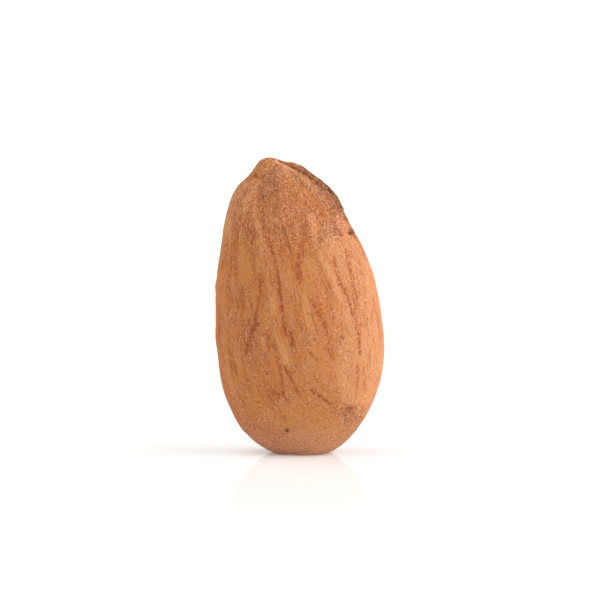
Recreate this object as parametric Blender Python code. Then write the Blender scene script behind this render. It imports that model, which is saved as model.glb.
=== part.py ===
# One shelled almond kernel in its brown skin, standing on its blunt end.
# Metres, +Z up. X runs across the broad faces and Y through the thickness.
# The origin is on the small flat the kernel rests on, under the middle of its bounds.

import math

import bmesh
import bpy
import numpy as np
from mathutils import Vector, noise

MM = 0.001

# Driving dimensions, in millimetres
LENGTH = 24.0
WIDTH = 13.65
THICKNESS = 8.0
MIDDLE_HEIGHT = 11.4  # height of the point that the outline is drawn round

# The outline seen from the front, from the blunt end up the right side, over the tip and down
OUTLINE = [
    (0.30, -0.49),
    (3.25, 0.50),
    (5.38, 2.65),
    (6.52, 5.30),
    (6.92, 8.40),
    (6.68, 11.70),
    (5.85, 15.10),
    (4.67, 17.80),
    (3.42, 19.84),
    (2.32, 21.18),
    (0.56, 22.54),
    (-1.14, 23.60),
    (-2.45, 24.00),
    (-3.38, 23.50),
    (-3.96, 22.52),
    (-4.60, 22.04),
    (-5.28, 21.00),
    (-5.91, 18.90),
    (-6.42, 15.40),
    (-6.64, 12.20),
    (-6.72, 9.20),
    (-6.28, 5.90),
    (-5.20, 2.90),
    (-3.64, 0.88),
    (-1.52, -0.22),
]

# Side view: how round the edge is, and how the thickness runs along the length
EDGE_POWER = 1.16  # above 1 the rim is keel-like, below 1 it is blunt
BLUNT_END_POWER = 0.66
BLUNT_END_REACH = 7.5  # height below which the rim turns blunt
BLUNT_END_HEIGHT = 2.6  # middle of the fuller stretch above the blunt end
BLUNT_END_STRETCH = 5.2  # how far the fuller stretch reaches above and below that
BLUNT_END_FULLNESS = 0.12  # share of the thickness added there
THICKEST_HEIGHT = 9.5
TIP_THINNING = 0.24  # share of the thickness lost on the way to the tip
BACK_FLATTENING = 0.05  # the back face bulges this share less than the front
TIP_LEAN = 0.30  # the tip bends this far towards the back

# The flat spot at the blunt end, an oval on the ground
FLAT_MIDDLE = (0.26, -0.02)
FLAT_HALF_AXES = (2.36, 1.88)
FLAT_RIM_REACH = 0.11  # share of the half axes within which a point is moved to the rim
FLAT_TOP = 2.0  # height under which a point can belong to the flat
FLAT_CLEARANCE = 0.10  # the round end is at least this high outside the flat

# The scar where the seed hung: a raised lip on the edge right of the tip, ending in a step
SCAR_START = (-1.30, 23.62)
SCAR_END = (3.45, 19.45)
SCAR_RAISE = 0.50
SCAR_HALF_WIDTH = 0.95
SCAR_CREASE_DEPTH = 0.24
SCAR_CREASE_WIDTH = 0.50
SCAR_FADE = 1.4  # length over which the lip grows out of the tip
SCAR_STEP = 0.35  # length over which it drops at its end
SCAR_INNER_FADE = (0.5, 1.6)  # distances inside its chord between which it dies away

# Veins run over both faces as arcs from the tip to their root low on the right edge
VEIN_TIP = (-2.45, 24.00)
VEIN_ROOT = (4.30, 2.60)
VEIN_HEIGHT = 0.10
VEIN_SPACING = 1.15  # half the distance from one vein to the next
VEIN_RUN = 6.0  # length over which a vein rises and fades
VEIN_TIP_FADE = 3.0  # lengths over which the veins sink in towards their ends
VEIN_ROOT_FADE = 7.0
FACE_BLEND = 1.2  # distance from the edge's middle over which one face's veins give way
FACE_SEEDS = (0.37, 11.37)  # where each face reads its own veins from the noise

# Broad unevenness of the dried kernel, and two bumps low on the left edge
LUMP_HEIGHT = 0.16
LUMP_SIZE = 5.5
EDGE_BUMPS = [
    # height of the bump, how far it stands out, its half length
    (13.60, 0.13, 0.45),
    (9.30, 0.10, 1.20),
]
EDGE_BUMP_DEPTH = 1.3  # half length of a bump through the thickness

TINY = 1e-6  # keeps a division clear of zero

# Faces of the cage along X, Y and Z
DIVISIONS = (24, 14, 41)

SKIN_COLOUR = (0.545, 0.217, 0.091, 1.0)
SKIN_ROUGHNESS = 0.62
SHARP_ANGLE = 50.0  # degrees; only the flat's rim could be shaded as an edge


def clear_scene():
    for thing in list(bpy.data.objects):
        bpy.data.objects.remove(thing, do_unlink=True)


def smoothstep(value, low, high):
    share = np.clip((value - low) / (high - low), 0.0, 1.0)
    return share * share * (3.0 - 2.0 * share)


def bump(value):
    """1 at zero, falling smoothly to 0 at one on either side."""
    return np.where(np.abs(value) < 1.0, (1.0 - value * value) ** 2, 0.0)


def divided_cube():
    """A cube two units wide, cut so that its faces come out even on the long kernel."""
    cage = bmesh.new()
    bmesh.ops.create_cube(cage, size=2.0)
    for axis, count in enumerate(DIVISIONS):
        uncut = [
            edge
            for edge in cage.edges
            if abs(edge.verts[0].co[axis] - edge.verts[1].co[axis]) > 1.0
        ]
        bmesh.ops.subdivide_edges(
            cage, edges=uncut, cuts=count - 1, use_grid_fill=True
        )
    return cage


def on_sphere(cube):
    """Cube points moved to the unit sphere, with their spacing kept even."""
    square = cube * cube
    others = square[:, [1, 2, 0]], square[:, [2, 0, 1]]
    return cube * np.sqrt(
        1.0 - (others[0] + others[1]) / 2.0 + others[0] * others[1] / 3.0
    )


def outline_radius(angle):
    """Distance from the middle point to the outline: a closed smooth curve through its points."""
    points = np.array(OUTLINE) - (0.0, MIDDLE_HEIGHT)
    knots = np.unwrap(np.arctan2(points[:, 1], points[:, 0]))
    radii = np.hypot(points[:, 0], points[:, 1])
    gaps = np.diff(np.append(knots, knots[0] + 2.0 * math.pi))
    rises = np.roll(radii, -1) - radii
    count = len(knots)
    matrix = np.zeros((count, count))
    wanted = np.zeros(count)
    for i in range(count):
        before = gaps[i - 1]
        matrix[i, i - 1] = before
        matrix[i, i] = 2.0 * (before + gaps[i])
        matrix[i, (i + 1) % count] = gaps[i]
        wanted[i] = 6.0 * (rises[i] / gaps[i] - rises[i - 1] / before)
    curvature = np.linalg.solve(matrix, wanted)

    turned = (angle - knots[0]) % (2.0 * math.pi) + knots[0]
    index = np.searchsorted(knots, turned, side="right") - 1
    following = (index + 1) % count
    step = gaps[index]
    past = turned - knots[index]
    left = step - past
    return (
        (curvature[index] * left**3 + curvature[following] * past**3) / (6.0 * step)
        + (radii[index] / step - curvature[index] * step / 6.0) * left
        + (radii[following] / step - curvature[following] * step / 6.0) * past
    )


def scar_height(x, z, y):
    """How far the scar's lip and creases move the edge outwards."""
    start = np.array(SCAR_START)
    run = np.array(SCAR_END) - start
    length = np.hypot(*run)
    along = ((x - start[0]) * run[0] + (z - start[1]) * run[1]) / length
    reach = smoothstep(along, 0.0, SCAR_FADE)
    reach = reach * (1.0 - smoothstep(along, length - SCAR_STEP, length))
    inwards = ((x - start[0]) * run[1] - (z - start[1]) * run[0]) / length
    reach = reach * (1.0 - smoothstep(inwards, *SCAR_INNER_FADE))
    lip = SCAR_RAISE * bump(y / SCAR_HALF_WIDTH)
    crease = SCAR_CREASE_DEPTH * bump(
        (np.abs(y) - SCAR_HALF_WIDTH) / SCAR_CREASE_WIDTH
    )
    return reach * (lip - crease)


def edge_bump_height(x, z, y):
    height = np.zeros_like(x)
    for bump_z, raise_by, half_length in EDGE_BUMPS:
        height += raise_by * bump((z - bump_z) / half_length)
    return np.where(x < 0.0, height * bump(y / EDGE_BUMP_DEPTH), 0.0)


def kernel_form(ball):
    """The smooth kernel: the outline puffed up to its thickness, standing on its flat."""
    x = ball[:, 0] * WIDTH / 2.0
    z = ball[:, 2] * LENGTH / 2.0
    angle = np.arctan2(z, x)
    ellipse = np.hypot(x, z)
    rim_share = np.hypot(ball[:, 0], ball[:, 2])
    scale = outline_radius(angle) * rim_share / np.maximum(ellipse, TINY)
    x = x * scale
    z = z * scale + MIDDLE_HEIGHT

    power = EDGE_POWER + (BLUNT_END_POWER - EDGE_POWER) * (
        1.0 - smoothstep(z, 0.0, BLUNT_END_REACH)
    )
    thinning = TIP_THINNING * smoothstep(z, THICKEST_HEIGHT, LENGTH)
    fullness = BLUNT_END_FULLNESS * bump((z - BLUNT_END_HEIGHT) / BLUNT_END_STRETCH)
    y = np.sign(ball[:, 1]) * np.abs(ball[:, 1]) ** power
    y = y * THICKNESS / 2.0 * (1.0 - thinning + fullness)
    y = np.where(y > 0.0, y * (1.0 - BACK_FLATTENING), y * (1.0 + BACK_FLATTENING))

    outward = scar_height(x, z, y) + edge_bump_height(x, z, y)
    growth = 1.0 + outward / np.maximum(np.hypot(x, z - MIDDLE_HEIGHT), TINY)
    x = x * growth
    z = (z - MIDDLE_HEIGHT) * growth + MIDDLE_HEIGHT
    y = y + TIP_LEAN * smoothstep(z, THICKEST_HEIGHT, LENGTH) ** 2
    return np.stack([x, y, z], axis=1)


def vein_arcs(x, z):
    """Which arc between the veins' two ends a point lies on, how far along, and both distances."""
    to_tip = VEIN_TIP[0] - x, VEIN_TIP[1] - z
    to_root = VEIN_ROOT[0] - x, VEIN_ROOT[1] - z
    tip_distance = np.hypot(*to_tip)
    root_distance = np.hypot(*to_root)
    half = math.dist(VEIN_TIP, VEIN_ROOT) / 2.0
    cross = to_tip[0] * to_root[1] - to_tip[1] * to_root[0]
    dot = to_tip[0] * to_root[0] + to_tip[1] * to_root[1]
    across = half * cross / (tip_distance * root_distance - dot)
    along = (root_distance - tip_distance) / 2.0
    return across, along, tip_distance, root_distance


def vein_height(points):
    """Low uneven ridges along the arcs, a set of their own on each face."""
    across, along, tip_distance, root_distance = vein_arcs(points[:, 0], points[:, 2])
    back = smoothstep(points[:, 1], -FACE_BLEND, FACE_BLEND)
    ridges = np.array(
        [
            [
                noise.noise(Vector((a / VEIN_SPACING, b / VEIN_RUN, face)))
                for face in FACE_SEEDS
            ]
            for a, b in zip(across, along)
        ]
    )
    height = ridges[:, 0] * (1.0 - back) + ridges[:, 1] * back
    fade = smoothstep(tip_distance, 0.0, VEIN_TIP_FADE)
    fade = fade * smoothstep(root_distance, 0.0, VEIN_ROOT_FADE)
    return VEIN_HEIGHT * height * fade


def lump_height(points):
    return np.array(
        [LUMP_HEIGHT * noise.noise(Vector(point) / LUMP_SIZE) for point in points]
    )


def laid_flat(points):
    """The points with the oval flat on the ground, its rim a clean line through the nearest ones."""
    offset = (points[:, :2] - FLAT_MIDDLE) / FLAT_HALF_AXES
    share = np.hypot(offset[:, 0], offset[:, 1])
    low = points[:, 2] < FLAT_TOP
    rim = low & (np.abs(share - 1.0) < FLAT_RIM_REACH)
    offset = np.where(rim[:, None], offset / np.maximum(share, TINY)[:, None], offset)
    height = np.where(low, np.maximum(points[:, 2], FLAT_CLEARANCE), points[:, 2])
    height = np.where(rim | (low & (share < 1.0)), 0.0, height)
    return np.column_stack([offset * FLAT_HALF_AXES + FLAT_MIDDLE, height])


def kernel_mesh():
    cage = divided_cube()
    cage.verts.ensure_lookup_table()
    cube = np.array([tuple(vertex.co) for vertex in cage.verts])
    points = kernel_form(on_sphere(cube))
    for vertex, point in zip(cage.verts, points):
        vertex.co = point
    cage.normal_update()
    normals = np.array([tuple(vertex.normal) for vertex in cage.verts])
    relief = vein_height(points) + lump_height(points)
    points = points + normals * relief[:, None]
    points = laid_flat(points)
    points[:, :2] -= (points[:, :2].max(axis=0) + points[:, :2].min(axis=0)) / 2.0
    for vertex, point in zip(cage.verts, points):
        vertex.co = Vector(point) * MM
    mesh = bpy.data.meshes.new("almond_kernel")
    cage.to_mesh(mesh)
    cage.free()
    return mesh


def skin_material():
    material = bpy.data.materials.new("almond_skin")
    material.use_nodes = True
    shader = material.node_tree.nodes["Principled BSDF"]
    shader.inputs["Base Color"].default_value = SKIN_COLOUR
    shader.inputs["Roughness"].default_value = SKIN_ROUGHNESS
    shader.inputs["Metallic"].default_value = 0.0
    return material


def main():
    clear_scene()
    collection = bpy.data.collections.new("almond")
    bpy.context.scene.collection.children.link(collection)
    mesh = kernel_mesh()
    mesh.materials.append(skin_material())
    mesh.shade_smooth()
    mesh.set_sharp_from_angle(angle=math.radians(SHARP_ANGLE))
    collection.objects.link(bpy.data.objects.new("almond_kernel", mesh))


main()
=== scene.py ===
# The looks of one shelled almond kernel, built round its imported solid.
# Sizes are in millimetres unless a note says otherwise, and mm turns them into metres.
import math

import bmesh
import bpy
import numpy as np
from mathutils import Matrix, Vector, noise


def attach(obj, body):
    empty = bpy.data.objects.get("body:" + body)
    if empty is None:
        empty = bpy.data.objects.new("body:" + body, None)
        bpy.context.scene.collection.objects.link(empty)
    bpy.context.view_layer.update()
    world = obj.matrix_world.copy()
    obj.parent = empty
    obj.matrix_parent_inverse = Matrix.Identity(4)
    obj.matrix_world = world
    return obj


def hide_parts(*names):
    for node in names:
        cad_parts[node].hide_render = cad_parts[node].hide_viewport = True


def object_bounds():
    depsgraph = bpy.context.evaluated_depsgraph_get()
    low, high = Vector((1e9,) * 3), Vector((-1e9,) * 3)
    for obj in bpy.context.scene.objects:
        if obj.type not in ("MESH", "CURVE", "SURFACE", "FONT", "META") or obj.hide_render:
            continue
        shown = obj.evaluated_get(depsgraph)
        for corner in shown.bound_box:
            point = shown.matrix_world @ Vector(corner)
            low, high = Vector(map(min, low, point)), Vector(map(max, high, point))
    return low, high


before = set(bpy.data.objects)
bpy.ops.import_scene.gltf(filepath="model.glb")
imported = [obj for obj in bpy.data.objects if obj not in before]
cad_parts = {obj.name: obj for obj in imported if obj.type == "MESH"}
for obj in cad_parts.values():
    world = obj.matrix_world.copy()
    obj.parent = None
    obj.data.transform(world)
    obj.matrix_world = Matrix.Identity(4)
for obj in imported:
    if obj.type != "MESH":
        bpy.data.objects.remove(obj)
cadLow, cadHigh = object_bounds()
mm = 0.001
solidName = "almond_kernel"
print("frame loaded")


# Small helpers


def onlyActive(piece):
    bpy.ops.object.select_all(action="DESELECT")
    piece.select_set(True)
    bpy.context.view_layer.objects.active = piece


def applyModifier(piece, kind, **settings):
    modifier = piece.modifiers.new(kind.title(), kind)
    for name, value in settings.items():
        setattr(modifier, name, value)
    onlyActive(piece)
    bpy.ops.object.modifier_apply(modifier=modifier.name)


def smoothStep(value, low, high):
    share = np.clip((value - low) / (high - low), 0.0, 1.0)
    return share * share * (3.0 - 2.0 * share)


def hump(value):  # 1 at zero, falling smoothly to 0 at one on either side
    return np.where(np.abs(value) < 1.0, (1.0 - value * value) ** 2, 0.0)


def noiseAt(points, sizes, seed=0.0):  # signed noise whose lumps are about sizes wide
    scaled = (points / np.array(sizes) + seed).tolist()
    return np.array([noise.noise(point) for point in scaled])


# Camera and lights

view = {
    "distance": 200.0,
    "elevation": 5.0,  # degrees above the horizon
    "frameWidth": 48.5,  # what the picture's width covers at the kernel
    "framePixels": 600.0,  # the picture's width, in which marks on the skin are placed
    "aim": (0.04, 0.0, 12.45),  # the point at the picture's middle
}


def makeCamera():
    elevation = math.radians(view["elevation"])
    aim = Vector(view["aim"]) * mm
    back = Vector((0.0, -math.cos(elevation), math.sin(elevation)))
    data = bpy.data.cameras.new("camera")
    data.sensor_width = 36.0
    data.lens = data.sensor_width * view["distance"] / view["frameWidth"]
    data.clip_start = 0.005
    data.clip_end = 20.0
    camera = bpy.data.objects.new("camera", data)
    camera.location = aim + back * view["distance"] * mm
    camera.rotation_euler = (-back).to_track_quat("-Z", "Y").to_euler()
    bpy.context.scene.collection.objects.link(camera)
    bpy.context.scene.camera = camera


def seenPixels(points):  # where each point of the kernel lies in the picture
    elevation = math.radians(view["elevation"])
    x, y, z = (points - np.array(view["aim"])).T
    depth = view["distance"] + y * math.cos(elevation) - z * math.sin(elevation)
    upward = z * math.cos(elevation) + y * math.sin(elevation)
    middle = view["framePixels"] / 2.0
    scale = view["framePixels"] / view["frameWidth"] * view["distance"] / depth
    return np.stack([middle + x * scale, middle - upward * scale], axis=1)


lights = {
    # name: azimuth to the right of the camera, elevation, apparent size, strength, colour
    "key": (81.0, 20.0, 70.0, 3.48, (0.99, 1.0, 1.01)),
    "fill": (-88.0, 56.0, 70.0, 1.32, (1.0, 0.98, 0.95)),
}
surround = {
    "light": 0.495,  # strength of the pale surroundings as light
    "colour": (1.0, 0.95, 0.90, 1.0),
    "seen": 1.05,  # and as the camera and reflections see them
}


def makeLights():
    for name, (azimuth, elevation, size, strength, colour) in lights.items():
        data = bpy.data.lights.new(name, "SUN")
        data.angle = math.radians(size)
        data.energy = strength
        data.color = colour
        turn, rise = math.radians(azimuth), math.radians(elevation)
        outward = Vector(
            (math.sin(turn) * math.cos(rise), -math.cos(turn) * math.cos(rise), math.sin(rise))
        )
        light = bpy.data.objects.new(name, data)
        light.location = outward * view["distance"] * mm
        light.rotation_euler = (-outward).to_track_quat("-Z", "Y").to_euler()
        bpy.context.scene.collection.objects.link(light)

    world = bpy.data.worlds.new("studio")
    world.use_nodes = True
    tree = world.node_tree
    seen = tree.nodes["Background"]
    lighting = tree.nodes.new("ShaderNodeBackground")
    paths = tree.nodes.new("ShaderNodeLightPath")
    mixed = tree.nodes.new("ShaderNodeMixShader")
    seen.inputs["Color"].default_value = (1.0, 1.0, 1.0, 1.0)
    seen.inputs["Strength"].default_value = surround["seen"]
    lighting.inputs["Color"].default_value = surround["colour"]
    lighting.inputs["Strength"].default_value = surround["light"]
    tree.links.new(paths.outputs["Is Diffuse Ray"], mixed.inputs[0])
    tree.links.new(seen.outputs[0], mixed.inputs[1])
    tree.links.new(lighting.outputs[0], mixed.inputs[2])
    tree.links.new(mixed.outputs[0], tree.nodes["World Output"].inputs["Surface"])
    bpy.context.scene.world = world
    bpy.context.scene.view_settings.view_transform = "Standard"


# Shader maths


class Link:  # a node's output, which Python's operators add Math nodes to
    def __init__(self, shader, socket):
        self.shader = shader
        self.socket = socket

    def __add__(self, other):
        return self.shader.maths("ADD", self, other)

    def __mul__(self, other):
        return self.shader.maths("MULTIPLY", self, other)

    def __sub__(self, other):
        return self.shader.maths("SUBTRACT", self, other)

    def __rsub__(self, other):
        return self.shader.maths("SUBTRACT", other, self)

    __radd__ = __add__
    __rmul__ = __mul__


class Shader:  # a material and its nodes
    def __init__(self, name):
        self.material = bpy.data.materials.new(name)
        self.material.use_nodes = True
        self.tree = self.material.node_tree
        self.surface = self.tree.nodes["Principled BSDF"]

    def node(self, kind, settings=None, inputs=None, output=0):
        made = self.tree.nodes.new(kind)
        for name, value in (settings or {}).items():
            setattr(made, name, value)
        for name, value in (inputs or {}).items():
            if isinstance(value, Link):
                self.tree.links.new(value.socket, made.inputs[name])
            else:
                made.inputs[name].default_value = value
        return Link(self, made.outputs[output])

    def maths(self, operation, *values):
        return self.node(
            "ShaderNodeMath", {"operation": operation}, dict(enumerate(values))
        )

    def step(self, value, low, high):
        return self.node(
            "ShaderNodeMapRange",
            {"interpolation_type": "SMOOTHSTEP"},
            {"Value": value, "From Min": low, "From Max": high},
        )

    def stretch(self, place, factors):
        return self.node(
            "ShaderNodeVectorMath", {"operation": "MULTIPLY"}, {0: place, 1: factors}
        )

    def noise(self, place, detail, roughness):
        return self.node(
            "ShaderNodeTexNoise",
            None,
            {"Vector": place, "Scale": 1.0, "Detail": detail, "Roughness": roughness},
        )

    def blend(self, share, first, second):
        return self.node(
            "ShaderNodeMix",
            {"data_type": "RGBA"},
            {0: share, 6: first, 7: second},
            output=2,
        )

    def attribute(self, name, output=2):
        return self.node(
            "ShaderNodeAttribute", {"attribute_name": name}, None, output
        )

    def set(self, socket, value):
        if isinstance(value, Link):
            self.tree.links.new(value.socket, self.surface.inputs[socket])
        else:
            self.surface.inputs[socket].default_value = value


# Floor

floor = {
    "halfWidth": 1500.0,
    "colour": (0.80, 0.80, 0.80, 1.0),
    "glowBehind": (0.16, 0.16, 0.16, 1.0),  # the table is lit from below as well
    "glowAhead": (0.42, 0.42, 0.42, 1.0),  # and more so towards the camera
    "glowFrom": 5.0,  # distances in front of the kernel over which it rises
    "glowTo": 115.0,
    "roughness": 0.08,
    "ior": 1.08,
}


def makeFloor():
    bpy.ops.mesh.primitive_plane_add(size=2.0 * floor["halfWidth"] * mm)
    plane = bpy.context.active_object
    plane.name = "floor"
    shader = Shader("floorWhite")
    shader.set("Base Color", floor["colour"])
    shader.set("Roughness", floor["roughness"])
    shader.set("IOR", floor["ior"])
    coordinates = shader.node("ShaderNodeTexCoord", None, None, 3)
    ahead = shader.node("ShaderNodeSeparateXYZ", None, {0: coordinates}, 1) * (-1.0 / mm)
    ahead = shader.step(ahead, floor["glowFrom"], floor["glowTo"])
    shader.set("Emission Color", shader.blend(ahead, floor["glowBehind"], floor["glowAhead"]))
    shader.set("Emission Strength", 1.0)
    plane.data.materials.append(shader.material)


# The kernel's fine skin: an even cage laid on the smoothed solid, then given its relief

skin = {
    "cageFaces": (15, 9, 26),
    "levels": 3,
    "smoothing": 6,  # rounds that calm the solid's broad ridges on both faces
    "faceTurn": (0.55, 0.90),  # how far a corner faces front or back to be smoothed
    "weld": 0.001,
    "quadAngle": 60.0,  # degrees by which triangles joined to one face may differ
    "guideLevels": 2,
    "flatKeep": 0.35,  # height above the ground over which relief grows in
    "frontTurn": (-0.10, 0.15),  # how far the skin faces the camera where its own marks fade in
    "markTurn": (-0.50, -0.10),  # the same for single marks, which reach over the edge
    "topFrom": (15.0, 20.0),  # heights over which the skin gets rougher towards the tip
    "topRough": 0.24,
}
veins = {
    # the two ends, on a disc that the kernel's outline is mapped to
    "tip": (0.0, 1.06),
    "root": (0.50, -0.75),
    "halfWidth": 6.8,
    "slenderness": 24.0 / 13.6,  # the kernel's length to its width
    "tipFade": (0.5, 3.0),  # distances from both ends over which the veins set in
    "rootFade": (2.0, 8.0),
    "bandSizes": (1.30, 8.0, 3.0),  # across the veins, along them, through the kernel
    "bandHeight": 0.074,
    "streakSizes": (0.46, 3.2, 2.0),
    "streakDepth": 0.026,
    "streakEdge": (0.05, 0.45),
    "bandPull": 0.35,  # how much the streaks keep to the raised bands
    "hairSizes": (0.21, 1.5, 1.2),
    "hairHeight": 0.011,
    "paleHeight": 0.032,
}
grain = {
    "coarseSize": 0.46,
    "coarseHeight": 0.016,
    "fineSize": 0.21,
    "fineHeight": 0.014,
}
scar = {
    "start": (-1.30, 23.62),
    "end": (3.45, 19.60),
    "startFade": (0.2, 1.6),  # along it, where the lip sets in
    "endFade": (-0.1, 0.2),  # and round its end, where it stops
    "inwardFade": (0.30, 0.75),
    "middle": 0.26,  # the lip leans to the back with the tip
    "halfWidth": 0.86,
    "lipFade": 0.25,
    "creaseWidth": 0.20,
    "crustLump": 0.36,
    "crustHeight": 0.070,
}

# How lines, marks and patches on the front spread from the places in the lists below
drawing = {
    "lineReach": 1.9,  # how many of its half widths a line fades over
    "wander": [(0.9, 3.0, 0.5), (0.35, 8.0, 0.6)],  # noise that frays edges: lump, seed, share
    "streakFray": 0.45,  # how much of it a streak gets
    "streakEdge": (0.05, 1.05),
    "paleFray": 0.50,
    "paleEdge": (0.10, 0.80),
    "otherStreaks": 0.35,  # what is left there of the streaks that noise makes
    "markReach": 1.7,
    "patchReach": 1.5,
    "patchFray": 0.35,
}
# Streaks on the front as the picture shows them: half width in pixels, strength, points
strokes = [
    (1.6, 0.75, [(261, 188), (263, 198), (262, 217), (264, 234), (266, 241)]),
    (1.9, 1.00, [(270, 243), (275.5, 264), (279.5, 287), (281, 302), (283, 322), (286, 334)]),
    (3.4, 0.80, [(303, 217), (305, 240)]),
    (3.0, 0.85, [(302, 243), (297.5, 267), (299, 281)]),
    (2.4, 0.50, [(290, 220), (294, 236)]),
    (2.0, 1.00, [(334, 259), (340, 284), (347.5, 297), (352.5, 312), (357.5, 325), (360, 354)]),
    (2.6, 0.70, [(346, 251), (350, 270), (354, 292), (355, 307)]),
    (1.7, 0.90, [(259, 275), (260, 292), (257.5, 307), (255, 321)]),
    (2.6, 0.90, [(257, 324), (252, 330), (248, 342), (246.5, 352)]),
    (2.6, 0.80, [(267, 333), (270, 348)]),
    (2.4, 1.00, [(290.5, 334), (292.5, 346)]),
    (1.7, 0.85, [(273, 345), (278.7, 362), (281, 377), (283, 393)]),
    (1.7, 0.90, [(285, 368), (292.5, 382), (299, 394)]),
    (1.6, 0.90, [(268, 391), (282.5, 396), (289, 401)]),
    (1.7, 1.00, [(311, 390), (322.5, 398), (332, 405)]),
    (1.9, 0.85, [(312, 301), (320, 317), (325, 328), (327, 334)]),
    (1.4, 0.65, [(326, 346), (333, 359)]),
    (1.4, 0.65, [(309, 352), (318, 361)]),
    (2.4, 0.45, [(278, 410), (285, 419)]),
    (2.4, 0.45, [(267, 404), (273, 410)]),
    (2.2, 0.50, [(230, 284), (231, 302)]),
    (2.2, 0.55, [(242, 286), (244, 309)]),
    (3.0, 0.60, [(247, 230), (258, 236)]),
    (2.4, 0.60, [(299, 189), (294, 197), (296, 204)]),
    (2.4, 0.65, [(305, 204), (310, 214)]),
    (2.4, 0.65, [(319, 206), (324, 216)]),
    (3.4, 0.75, [(331, 222), (340, 233)]),
    (1.6, 0.60, [(357.5, 364), (356, 386)]),
    (1.6, 0.60, [(363.7, 368), (365, 392)]),
    (2.0, 0.75, [(345, 218), (350, 226), (355, 236), (359.5, 243), (365, 257)]),
    (1.5, 0.50, [(372, 298), (379, 328), (381, 342)]),
]

# Single marks on the front: pixels across and down, radius in pixels, depth, darkness
marks = [
    (287.0, 430.8, 2.0, 0.070, 0.95),
    (263.0, 196.5, 1.6, 0.020, 0.55),
    (255.6, 175.9, 2.0, 0.050, 0.70),
    (252.4, 330.8, 1.6, 0.010, 0.40),
    (292.4, 344.0, 2.0, 0.010, 0.50),
    (315.0, 339.5, 1.7, 0.010, 0.55),
    (325.8, 323.5, 2.0, 0.010, 0.30),
    (342.0, 337.5, 2.2, 0.010, 0.50),
    (356.0, 328.5, 1.6, 0.010, 0.50),
    (360.5, 324.5, 1.5, 0.010, 0.45),
    (317.5, 297.0, 1.3, 0.010, 0.50),
    (250.0, 259.5, 1.6, 0.010, 0.45),
    (256.2, 325.6, 1.3, 0.010, 0.40),
    (296.5, 367.0, 1.5, 0.010, 0.50),
    (311.2, 354.0, 1.6, 0.010, 0.40),
    (349.0, 408.2, 2.6, 0.030, 0.60),
    (345.6, 217.4, 2.2, 0.150, 0.60),
    (340.8, 208.0, 3.0, -0.100, 0.00),
    (332.3, 195.0, 1.3, 0.030, 0.60),
    (335.4, 201.5, 1.2, 0.020, 0.45),
    (336.8, 206.5, 1.3, 0.030, 0.45),
    (342.6, 213.2, 1.7, 0.050, 0.60),
    (276.0, 190.7, 1.8, 0.020, 0.45),
]
chip = {  # a bite out of the right edge, just below the scar, dark brown and darkened further as painted shade in the bite
    "height": 17.93,
    "depthwise": -0.30,
    "halfHeight": 0.40,
    "halfLength": 0.75,
    "fromMiddle": 2.0,  # only beyond this to the right
    "fray": 0.5,
    "frayLump": 0.32,
    "depth": 0.120,
    "darkness": 1.0,
}
# Rough scurfy patches on the front: middle across and down, half widths in pixels, strength
patches = [
    (274.0, 180.0, 14.0, 20.0, 0.90),
    (268.0, 192.0, 12.0, 9.0, 0.70),
    (349.0, 415.0, 13.0, 14.0, 0.68),
    (331.0, 229.0, 13.0, 12.0, 0.75),
    (337.0, 203.0, 5.0, 11.0, 0.70),
    (248.0, 226.0, 14.0, 22.0, 0.25),
    (251.0, 342.0, 12.0, 22.0, 0.25),
]
scratch = {
    "points": [(282.8, 226.0), (287.0, 238.0), (290.6, 250.0), (293.0, 256.0)],
    "halfWidth": 0.8,  # pixels
    "depth": 0.030,
    "darkness": 0.55,
}
scarLine = {
    # the crease between the scar's lip and the front face, from the tip down
    "points": [
        (279, 160.8), (285, 163.4), (290, 165.8), (295, 168.4), (300, 171), (305, 174),
        (309, 177), (314, 180.5), (320, 185.5), (324.5, 190), (328.5, 195), (331.5, 200),
        (334, 205), (337.5, 210.5), (342, 215.5),
    ],
    "halfWidth": 1.3,
    "reach": 1.8,
    "depth": 0.070,
    "darkness": 0.85,
    "evenShare": 0.25,  # the part of its darkness that isn't broken up
    "brokenLumps": (0.5, 0.22),
    "brokenEdge": (-0.40, 0.30),
    "paleFrom": (312.0, 336.0),  # across the picture, where its dark colour and depth die away
    "paleLoss": 0.8,
    "bandEdge": (-0.5, 1.6),  # pixels outside it over which the crust sets in
    "bandFrom": (284.0, 298.0),  # across the picture, where the crust outside it sets in
    "bandRoughFrom": (300.0, 334.0),  # and where it grows from light to full strength
    "bandLightShare": 0.70,
}
# Paler, dustier skin: dust on the blunt end, made stronger there as painted bounce light from
# below, and along the left rim, where it is also painted sheen
dustAndPaintedLightPlaces = {
    "bottom": (0.4, 3.8),  # heights between which the dust and the painted bounce light on the blunt end fade out
    "bottomShare": 1.3,
    "rim": (0.35, 0.90),  # how far the skin turns from the faces where the rim's dust and painted sheen set in
    "rimHeights": (9.0, 22.0),  # and the heights over which it grows
    "rimShare": 0.9,
    "rimSide": (-2.0, 3.0),  # from the middle to the left, where it lies
}
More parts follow.
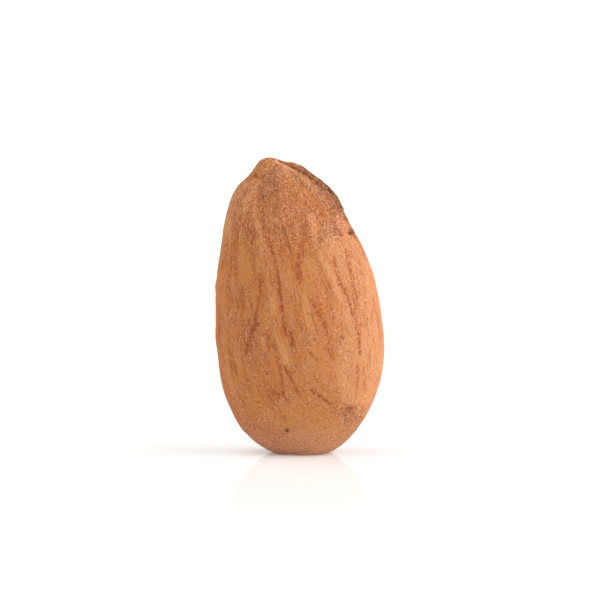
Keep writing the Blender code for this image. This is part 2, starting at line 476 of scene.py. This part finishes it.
# Paler places on the front, partly the skin's own paler colour and partly painted highlight:
# the light from the right on the right side and on the broad ridge, and thin lit rims low on
# both edges. Half width in pixels, strength, points
paleAndHighlightLines = [
    (2.4, 1.60, [(276, 161), (283, 165), (291, 170), (300, 176), (308, 182), (316, 190)]),
    (2.4, 1.70, [(316, 190), (324, 199), (331, 207), (333, 213)]),
    (4.5, 0.70, [(286, 170), (295, 174), (303, 180)]),
    (2.5, 0.60, [(257, 182), (270, 190)]),
    (2.6, 0.60, [(268, 209), (271, 220)]),
    (3.0, 0.50, [(255, 212), (259, 234), (262, 252)]),
    # paler and raised, with painted highlight where the light from the right falls on the broad
    # ridge
    (
        3.0, 1.00,
        [(310, 215), (313, 227), (316, 245), (322, 259), (328, 270), (333, 285), (340, 300)],
    ),
    (4.0, 0.40, [(286, 277), (297, 296), (305, 302)]),
    (2.2, 0.80, [(325, 229), (327.5, 243)]),
    (3.0, 0.75, [(357, 254), (362, 269), (361, 283)]),
    (3.5, 0.70, [(366, 302), (372, 332)]),
    (2.6, 0.70, [(272, 300), (275, 327), (282, 349), (288, 366)]),
    (2.2, 0.50, [(262, 332), (264, 352)]),
    (2.2, 0.60, [(358, 359), (360, 378)]),
    (2.6, 0.45, [(233, 279), (237, 297)]),
    # painted highlight: thin lit rims low on the left and right edges
    (3.0, 0.45, [(227, 370), (230, 383), (236, 402), (246, 422)]),
    (2.6, 0.45, [(352, 428), (364, 410), (375, 384)]),
    (4.0, 0.35, [(306, 310), (314, 340), (306, 372)]),
    # painted highlight where the light from the right falls over the right side
    (26.0, 0.80, [(354, 246), (366, 290), (368, 340), (362, 380)]),
    (9.0, 0.90, [(246, 190), (236, 206), (230, 226)]),
]


def smoothedSolid():
    onlyActive(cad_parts[solidName])
    bpy.ops.object.duplicate()
    guide = bpy.context.active_object
    bpy.ops.object.mode_set(mode="EDIT")
    bpy.ops.mesh.select_all(action="SELECT")
    bpy.ops.mesh.remove_doubles(threshold=skin["weld"] * mm)
    angle = math.radians(skin["quadAngle"])
    bpy.ops.mesh.tris_convert_to_quads(face_threshold=angle, shape_threshold=angle)
    bpy.ops.object.mode_set(mode="OBJECT")
    faces = guide.vertex_groups.new(name="faces")
    for vertex in guide.data.vertices:
        share = float(smoothStep(abs(vertex.normal.y), *skin["faceTurn"]))
        faces.add([vertex.index], share, "REPLACE")
    applyModifier(
        guide, "SMOOTH", factor=0.5, iterations=skin["smoothing"], vertex_group="faces"
    )
    levels = skin["guideLevels"]
    applyModifier(guide, "SUBSURF", levels=levels, render_levels=levels)
    return guide


def dividedBall():
    bpy.ops.mesh.primitive_cube_add(size=2.0)
    ball = bpy.context.active_object
    bpy.ops.object.mode_set(mode="EDIT")
    bpy.ops.mesh.select_mode(type="EDGE")
    for axis, faces in enumerate(skin["cageFaces"]):
        bpy.ops.mesh.select_all(action="DESELECT")
        cage = bmesh.from_edit_mesh(ball.data)
        for edge in cage.edges:  # the cube's edges along this axis, 2 long, are divided
            first, second = edge.verts
            edge.select_set(abs(first.co[axis] - second.co[axis]) > 1.0)
        bmesh.update_edit_mesh(ball.data)
        bpy.ops.mesh.subdivide(number_cuts=faces - 1)
    bpy.ops.object.mode_set(mode="OBJECT")
    applyModifier(ball, "CAST", cast_type="SPHERE", factor=1.0, radius=1.0)
    return ball


def laidSkin(guide):
    piece = dividedBall()
    piece.name = "kernelSkin"
    bpy.ops.object.mode_set(mode="EDIT")
    bpy.ops.mesh.select_all(action="SELECT")
    bpy.ops.transform.resize(value=(cadHigh - cadLow) / 2.0)
    bpy.ops.transform.translate(value=(cadLow + cadHigh) / 2.0)
    bpy.ops.object.mode_set(mode="OBJECT")
    applyModifier(
        piece, "SUBSURF", levels=skin["levels"], render_levels=skin["levels"]
    )
    applyModifier(
        piece, "SHRINKWRAP", target=guide, wrap_method="NEAREST_SURFACEPOINT"
    )
    return piece


def outlineDisc(points):  # the broad view mapped to a disc: the outline becomes its rim
    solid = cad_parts[solidName].data.vertices
    corners = np.array([tuple(vertex.co) for vertex in solid]) / mm
    height = cadHigh[2] / mm
    slices, sliceHalf, poles = 41, 0.5, 0.995
    levels = np.linspace(0.0, height, slices)
    sides = []
    for level in levels:
        near = corners[np.abs(corners[:, 2] - level) < sliceHalf, 0]
        sides.append((near.min(), near.max()))
    left, right = (np.interp(points[:, 2], levels, side) for side in zip(*sides))
    upward = np.clip(2.0 * points[:, 2] / height - 1.0, -poles, poles)
    sideways = (2.0 * points[:, 0] - left - right) / (right - left)
    return sideways * np.sqrt(1.0 - upward**2), upward


def veinArcs(points):  # arcs on that disc between both ends: across, along, end distances
    x, z = outlineDisc(points)
    toTip = veins["tip"][0] - x, veins["tip"][1] - z
    toRoot = veins["root"][0] - x, veins["root"][1] - z
    tipDistance = np.hypot(*toTip)
    rootDistance = np.hypot(*toRoot)
    half = math.dist(veins["tip"], veins["root"]) / 2.0
    cross = toTip[0] * toRoot[1] - toTip[1] * toRoot[0]
    dot = toTip[0] * toRoot[0] + toTip[1] * toRoot[1]
    nearlyZero = 0.001
    across = half * cross / np.maximum(tipDistance * rootDistance - dot, nearlyZero)
    along = (rootDistance - tipDistance) / 2.0 * veins["slenderness"]
    size = veins["halfWidth"]
    return across * size, along * size, tipDistance * size, rootDistance * size


def offsetsFrom(seen, line):  # from each stretch of a line: every place's offset, and its run
    for first, second in zip(line[:-1], line[1:]):
        start = np.array(first, dtype=float)
        run = np.array(second, dtype=float) - start
        past = np.clip(((seen - start) @ run) / (run @ run), 0.0, 1.0)
        yield seen - start - past[:, None] * run, run


def lineShare(seen, line, halfWidth):  # 1 on a line in the picture, 0 beyond its half width
    share = np.zeros(len(seen))
    for offset, _ in offsetsFrom(seen, line):
        share = np.maximum(share, hump(np.hypot(*offset.T) / halfWidth))
    return share


def sideOfLine(seen, line):  # distance from a line in the picture, positive above it
    nearest = np.full(len(seen), np.inf)
    signed = np.zeros(len(seen))
    for offset, run in offsetsFrom(seen, line):
        distance = np.hypot(*offset.T)
        side = np.sign(offset[:, 0] * run[1] - offset[:, 1] * run[0])
        signed = np.where(distance < nearest, side * distance, signed)
        nearest = np.minimum(nearest, distance)
    return signed


def scarShares(points):  # the scar's lip and its creases, as shares from 0 to 1
    start = np.array(scar["start"])
    run = np.array(scar["end"]) - start
    length = np.hypot(*run)
    x, y, z = points.T
    along = ((x - start[0]) * run[0] + (z - start[1]) * run[1]) / length
    inwards = ((x - start[0]) * run[1] - (z - start[1]) * run[0]) / length
    window = smoothStep(along, *scar["startFade"])
    window = window * (1.0 - smoothStep(along - length, *scar["endFade"]))
    window = window * (1.0 - smoothStep(inwards, *scar["inwardFade"]))
    side = np.abs(y - scar["middle"])
    lipFrom = scar["halfWidth"] - scar["lipFade"]
    lip = window * (1.0 - smoothStep(side, lipFrom, scar["halfWidth"]))
    crease = window * hump((side - scar["halfWidth"]) / scar["creaseWidth"])
    return lip, crease


def streakShares(seen, front, wander, streak):  # drawn on the front, from noise elsewhere
    drawn = np.zeros(len(seen))
    for halfWidth, strength, line in strokes:
        share = lineShare(seen, line, halfWidth * drawing["lineReach"])
        share = smoothStep(share + wander * drawing["streakFray"], *drawing["streakEdge"])
        drawn = np.maximum(drawn, strength * share)
    drawn = np.maximum(drawn, streak * drawing["otherStreaks"])
    return front * drawn + (1.0 - front) * streak


# paler places, partly painted highlight
def paleAndHighlightShares(seen, front, wander):
    paleAndHighlight = np.zeros(len(seen))
    for halfWidth, strength, line in paleAndHighlightLines:
        share = front * lineShare(seen, line, halfWidth * drawing["lineReach"])
        share = smoothStep(share + wander * drawing["paleFray"], *drawing["paleEdge"])
        paleAndHighlight = np.maximum(paleAndHighlight, strength * share)
    return paleAndHighlight


def markShares(points, seen, front, nearFront):  # pits, the chip and the scratch, with the chip's darkness partly painted shade
    dents = np.zeros(len(seen))
    dark = np.zeros(len(seen))
    shares = []
    for right, down, radius, depth, darkness in marks:
        distance = np.hypot(seen[:, 0] - right, seen[:, 1] - down)
        share = nearFront * hump(distance / (radius * drawing["markReach"]))
        shares.append((share, depth, darkness))
    distance = np.hypot(
        (points[:, 1] - chip["depthwise"]) / chip["halfLength"],
        (points[:, 2] - chip["height"]) / chip["halfHeight"],
    )
    share = hump(distance + noiseAt(points, chip["frayLump"], seed=12.0) * chip["fray"])
    share = (points[:, 0] > chip["fromMiddle"]) * share
    shares.append((share, chip["depth"], chip["darkness"]))
    reach = scratch["halfWidth"] * drawing["markReach"]
    share = front * lineShare(seen, scratch["points"], reach)
    shares.append((share, scratch["depth"], scratch["darkness"]))
    for share, depth, darkness in shares:
        dents += depth * share
        dark = np.maximum(dark, darkness * share)
    return dents, dark


def patchShares(seen, front, wander):
    scurf = np.zeros(len(seen))
    for right, down, halfWidth, halfHeight, strength in patches:
        distance = np.hypot(
            (seen[:, 0] - right) / halfWidth, (seen[:, 1] - down) / halfHeight
        )
        frayed = distance / drawing["patchReach"] + wander * drawing["patchFray"]
        scurf = np.maximum(scurf, front * strength * hump(frayed))
    return scurf


def frontScar(seen, front, nearFront, lip, crease):  # the scar as the picture shows it
    reach = scarLine["halfWidth"] * scarLine["reach"]
    frontLine = front * lineShare(seen, scarLine["points"], reach)
    crease = np.maximum(crease * (1.0 - front), frontLine)
    dying = 1.0 - scarLine["paleLoss"] * smoothStep(seen[:, 0], *scarLine["paleFrom"])
    crease = crease * (front * dying + 1.0 - front)
    outside = smoothStep(sideOfLine(seen, scarLine["points"]), *scarLine["bandEdge"])
    outside = nearFront * outside * smoothStep(seen[:, 0], *scarLine["bandFrom"])
    rough = smoothStep(seen[:, 0], *scarLine["bandRoughFrom"])
    outside = outside * (rough + (1.0 - rough) * scarLine["bandLightShare"])
    return np.maximum(lip, outside), crease


def dustAndPaintedLightShares(points, normals):  # dust and painted bounce light on the blunt end, dust and painted sheen up the left edge
    dustAndPaintedLight = (1.0 - smoothStep(points[:, 2], *dustAndPaintedLightPlaces["bottom"])) * dustAndPaintedLightPlaces["bottomShare"]
    rim = smoothStep(1.0 - np.abs(normals[:, 1]), *dustAndPaintedLightPlaces["rim"]) * dustAndPaintedLightPlaces["rimShare"]
    rim = rim * smoothStep(-points[:, 0], *dustAndPaintedLightPlaces["rimSide"])
    return np.maximum(dustAndPaintedLight, rim * smoothStep(points[:, 2], *dustAndPaintedLightPlaces["rimHeights"]))


def giveRelief(piece):
    mesh = piece.data
    count = len(mesh.vertices)
    places = np.zeros(count * 3)
    normals = np.zeros(count * 3)
    mesh.vertices.foreach_get("co", places)
    mesh.vertices.foreach_get("normal", normals)
    points = places.reshape(-1, 3) / mm
    normals = normals.reshape(-1, 3)
    seen = seenPixels(points)
    front = smoothStep(-normals[:, 1], *skin["frontTurn"])
    nearFront = smoothStep(-normals[:, 1], *skin["markTurn"])
    wander = sum(noiseAt(points, lump, seed) * share for lump, seed, share in drawing["wander"])

    across, along, tipDistance, rootDistance = veinArcs(points)
    veinPlace = np.stack([across, along, points[:, 1]], axis=1)
    ends = smoothStep(tipDistance, *veins["tipFade"])
    ends = ends * smoothStep(rootDistance, *veins["rootFade"])
    band = noiseAt(veinPlace, veins["bandSizes"])
    streak = noiseAt(veinPlace, veins["streakSizes"], seed=31.0) + veins["bandPull"] * band
    streak = smoothStep(streak, *veins["streakEdge"]) * ends
    streak = streakShares(seen, front, wander, streak)
    hair = noiseAt(veinPlace, veins["hairSizes"], seed=17.0)
    # paler places, partly painted highlight from the light on the right and lit rims
    paleAndHighlight = paleAndHighlightShares(seen, front, wander)

    relief = veins["bandHeight"] * band * ends - veins["streakDepth"] * streak
    relief += veins["hairHeight"] * hair * ends + veins["paleHeight"] * paleAndHighlight
    relief += grain["coarseHeight"] * noiseAt(points, grain["coarseSize"], seed=5.0)
    relief += grain["fineHeight"] * noiseAt(points, grain["fineSize"], seed=9.0)

    # dents and dark marks; the darkness in the chip is partly painted shade
    dents, markAndPaintedShade = markShares(points, seen, front, nearFront)
    lip, crease = frontScar(seen, front, nearFront, *scarShares(points))
    relief -= dents + scarLine["depth"] * crease
    relief += lip * scar["crustHeight"] * noiseAt(points, scar["crustLump"], seed=21.0)
    large, small = scarLine["brokenLumps"]
    broken = noiseAt(points, large, seed=40.0) + noiseAt(points, small, seed=44.0)
    broken = smoothStep(broken, *scarLine["brokenEdge"])
    darkness = scarLine["evenShare"] + (1.0 - scarLine["evenShare"]) * broken
    markAndPaintedShade = np.maximum(markAndPaintedShade, crease * darkness * scarLine["darkness"])

    relief *= smoothStep(points[:, 2], 0.0, skin["flatKeep"])
    points = points + normals * relief[:, None]
    points[:, 2] = np.maximum(points[:, 2], 0.0)
    mesh.vertices.foreach_set("co", (points * mm).ravel())

    scurf = np.maximum(patchShares(seen, front, wander), lip)
    scurf = np.maximum(scurf, skin["topRough"] * smoothStep(points[:, 2], *skin["topFrom"]))
    # dust, with painted bounce light at the bottom and painted sheen on the left rim
    dustAndPaintedLight = dustAndPaintedLightShares(points, normals)
    shares = {"streak": streak, "markAndPaintedShade": markAndPaintedShade, "scurf": scurf, "paleAndHighlight": paleAndHighlight, "dustAndPaintedLight": dustAndPaintedLight}
    for name, values in shares.items():
        stored = mesh.attributes.new(name, "FLOAT", "POINT")
        stored.data.foreach_set("value", values.astype(np.float32))
    stored = mesh.attributes.new("veinPlace", "FLOAT_VECTOR", "POINT")
    stored.data.foreach_set("vector", veinPlace.ravel().astype(np.float32))
    mesh.update()


crustColour = (0.300, 0.122, 0.058, 1.0)
skinLooks = {
    # name: colour, and how much of it is mixed in where it lies, in this order
    "gold": ((0.565, 0.244, 0.076, 1.0), 0.65),
    "ash": ((0.510, 0.222, 0.112, 1.0), 0.50),
    "amber": ((0.560, 0.203, 0.044, 1.0), 0.50),
    "rose": ((0.420, 0.099, 0.030, 1.0), 0.42),
    "dark": ((0.310, 0.080, 0.018, 1.0), 0.95),
    # pale grain specks, stronger along the paler places, which are partly painted highlight
    "paleAndHighlight": ((0.740, 0.400, 0.228, 1.0), 0.72),
    "clump": ((0.305, 0.060, 0.018, 1.0), 0.80),
    "thread": ((0.250, 0.060, 0.024, 1.0), 0.50),
    # dust colour, also painted bounce light on the blunt end and painted sheen on the left rim
    "dustAndPaintedLight": ((0.560, 0.340, 0.240, 1.0), 0.22),
    "underCrust": (crustColour, 0.45),
    "crust": (crustColour, 0.76),
    # painted highlight: a brighter orange where the paler lines are strongest, as on the broad
    # ridge the light from the right falls on
    "ridgeHighlight": ((0.720, 0.345, 0.150, 1.0), 0.60),
    "chalk": ((0.740, 0.500, 0.350, 1.0), 0.55),
    # dark brown of the marks, the chip, the scratch and the scar's crease, made darker still to
    # paint the shade in the chip's bite and deep pits
    "markAndPaintedShade": ((0.110, 0.026, 0.010, 1.0), 1.0),
}
skinSurface = {
    "base": (0.515, 0.190, 0.068, 1.0),
    "roughness": 0.62,
    "gloss": 0.10,
    "bump": 0.55,
    "bumpDistance": 0.028,
}
skinNoises = {
    # name: where it lies, repeats in a millimetre along three axes, detail, roughness
    "patch": ("veins", (0.50, 0.16, 0.35), 2.0, 0.50),
    "cluster": ("veins", (2.40, 0.60, 1.40), 2.0, 0.70),
    "grains": ("space", (7.6, 7.6, 6.2), 2.0, 0.90),
    "dots": ("veins", (5.4, 3.4, 4.6), 2.0, 0.80),
    "busy": ("veins", (1.7, 0.9, 1.3), 2.0, 0.60),
    "threads": ("veins", (2.4, 0.20, 0.9), 2.0, 0.65),
    "broken": ("veins", (0.9, 0.45, 0.9), 2.0, 0.50),
    "hues": ("veins", (2.6, 1.3, 2.2), 2.0, 0.60),
    "flecks": ("space", (5.2, 5.2, 4.4), 1.0, 0.50),
}
skinEdges = {
    # where each share rises from nothing to full
    "golden": (0.44, 0.62),
    "busy": (0.38, 0.62),
    "hues": (0.48, 0.64),
    "dark": (-0.06, 0.25),
    "paleAndHighlight": (-0.02, 0.30),
    "specks": (0.48, 0.57),
    "clump": (0.65, 0.74),
    "thread": (0.0, 0.040),
    "threadParts": (0.50, 0.62),
    "underCrust": (0.65, 1.10),
    "crust": (0.40, 0.56),
    "ridgeHighlight": (0.80, 1.60),
    "ridgeGrain": (0.80, 1.15),
    "chalk": (0.74, 0.83),
}
skinPushes = {
    # how much one share brings out another
    "scurfClump": 0.10,
    "busyClump": 0.05,
    "streakThread": 0.12,
    "scurfChalk": 0.13,
}
toneShares = {"cluster": 0.10, "busyScurf": 0.24, "streak": 0.035, "paleAndHighlight": 0.13}
heightShares = {"tone": 2.2, "chalk": 0.5, "clump": 0.6, "thread": 0.8}
grainStrength = {
    "everywhere": 0.46,
    "streak": 0.55,
    "scurf": 4.0,
    "busy": 0.62,
    "golden": -0.20,
    "dustAndPaintedLight": 0.50,
}


def skinMaterial():
    shader = Shader("almondSkin")
    edges, pushes = skinEdges, skinPushes
    coordinates = shader.node("ShaderNodeTexCoord", None, None, 3)
    place = shader.node(
        "ShaderNodeVectorMath", {"operation": "SCALE"}, {0: coordinates, "Scale": 1.0 / mm}
    )
    places = {"space": place, "veins": shader.attribute("veinPlace", 1)}
    made = {}
    for name, (where, factors, detail, roughness) in skinNoises.items():
        stretched = shader.stretch(places[where], factors)
        made[name] = shader.noise(stretched, detail, roughness)
    grains, cluster, flecks = made["grains"], made["cluster"], made["flecks"]
    for name in ("streak", "scurf", "paleAndHighlight", "dustAndPaintedLight", "markAndPaintedShade"):
        made[name] = shader.attribute(name)
    streak, scurf, paleAndLit = made["streak"], made["scurf"], made["paleAndHighlight"]
    busy = made["busy"] = shader.step(made["busy"], *edges["busy"])
    made["golden"] = shader.step(made["patch"], *edges["golden"]) * (1.0 - streak)

    strength = grainStrength["everywhere"]
    for name in ("streak", "scurf", "busy", "golden", "dustAndPaintedLight"):
        strength = made[name] * grainStrength[name] + strength
    tone = (grains - 0.5) * strength
    tone = tone + (cluster - 0.5) * toneShares["cluster"]
    tone = tone + (busy - 0.5) * scurf * toneShares["busyScurf"]
    # the paler places lift the tone, partly as painted highlight
    tone = tone - streak * toneShares["streak"] + paleAndLit * toneShares["paleAndHighlight"]

    specks = shader.step(made["dots"], *edges["specks"]) * streak
    clump = made["dots"] + scurf * pushes["scurfClump"] + busy * pushes["busyClump"]
    clump = shader.maths("MAXIMUM", shader.step(clump, *edges["clump"]), specks)
    offThread = shader.maths("ABSOLUTE", made["threads"] - 0.5)
    parts = shader.step(made["broken"] + streak * pushes["streakThread"], *edges["threadParts"])
    thread = (1.0 - shader.step(offThread, *edges["thread"])) * parts
    chalk = shader.step(flecks + scurf * pushes["scurfChalk"], *edges["chalk"])
    # grain that breaks up the painted ridge highlight
    ridgeHighlight = shader.step(cluster + grains, *edges["ridgeGrain"])
    layers = {
        "gold": made["golden"],
        "ash": shader.step(made["hues"], *edges["hues"]),
        "amber": shader.step(1.0 - made["hues"], *edges["hues"]),
        "rose": streak,
        "dark": shader.step(0.0 - tone, *edges["dark"]),
        "paleAndHighlight": shader.step(tone, *edges["paleAndHighlight"]),
        "clump": clump,
        "thread": thread,
        # dust, partly painted bounce light and painted sheen
        "dustAndPaintedLight": made["dustAndPaintedLight"],
        "underCrust": shader.step(scurf, *edges["underCrust"]),
        "crust": scurf * shader.step(flecks, *edges["crust"]),
        # painted highlight on the palest raised lines
        "ridgeHighlight": shader.step(paleAndLit, *edges["ridgeHighlight"]) * ridgeHighlight,
        "chalk": chalk,
        "markAndPaintedShade": made["markAndPaintedShade"],
    }
    colour = skinSurface["base"]
    for name, (layer, amount) in skinLooks.items():
        colour = shader.blend(layers[name] * amount, colour, layer)

    height = tone * heightShares["tone"] + chalk * heightShares["chalk"]
    height = height - clump * heightShares["clump"] - thread * heightShares["thread"]
    bump = shader.node(
        "ShaderNodeBump",
        None,
        {
            "Strength": skinSurface["bump"],
            "Distance": skinSurface["bumpDistance"] * mm,
            "Height": height,
        },
    )
    shader.set("Base Color", colour)
    shader.set("Roughness", skinSurface["roughness"])
    shader.set("Normal", bump)
    shader.set("Specular IOR Level", skinSurface["gloss"])
    return shader.material


def makeKernel():
    guide = smoothedSolid()
    piece = laidSkin(guide)
    bpy.data.objects.remove(guide)
    giveRelief(piece)
    onlyActive(piece)
    bpy.ops.object.shade_smooth()
    piece.data.materials.clear()
    piece.data.materials.append(skinMaterial())
    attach(piece, "root")
    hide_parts(solidName)
    print("kernel laid:", len(piece.data.polygons), "faces")


makeCamera()
makeLights()
print("camera and lights set")
makeFloor()
print("floor laid")
makeKernel()
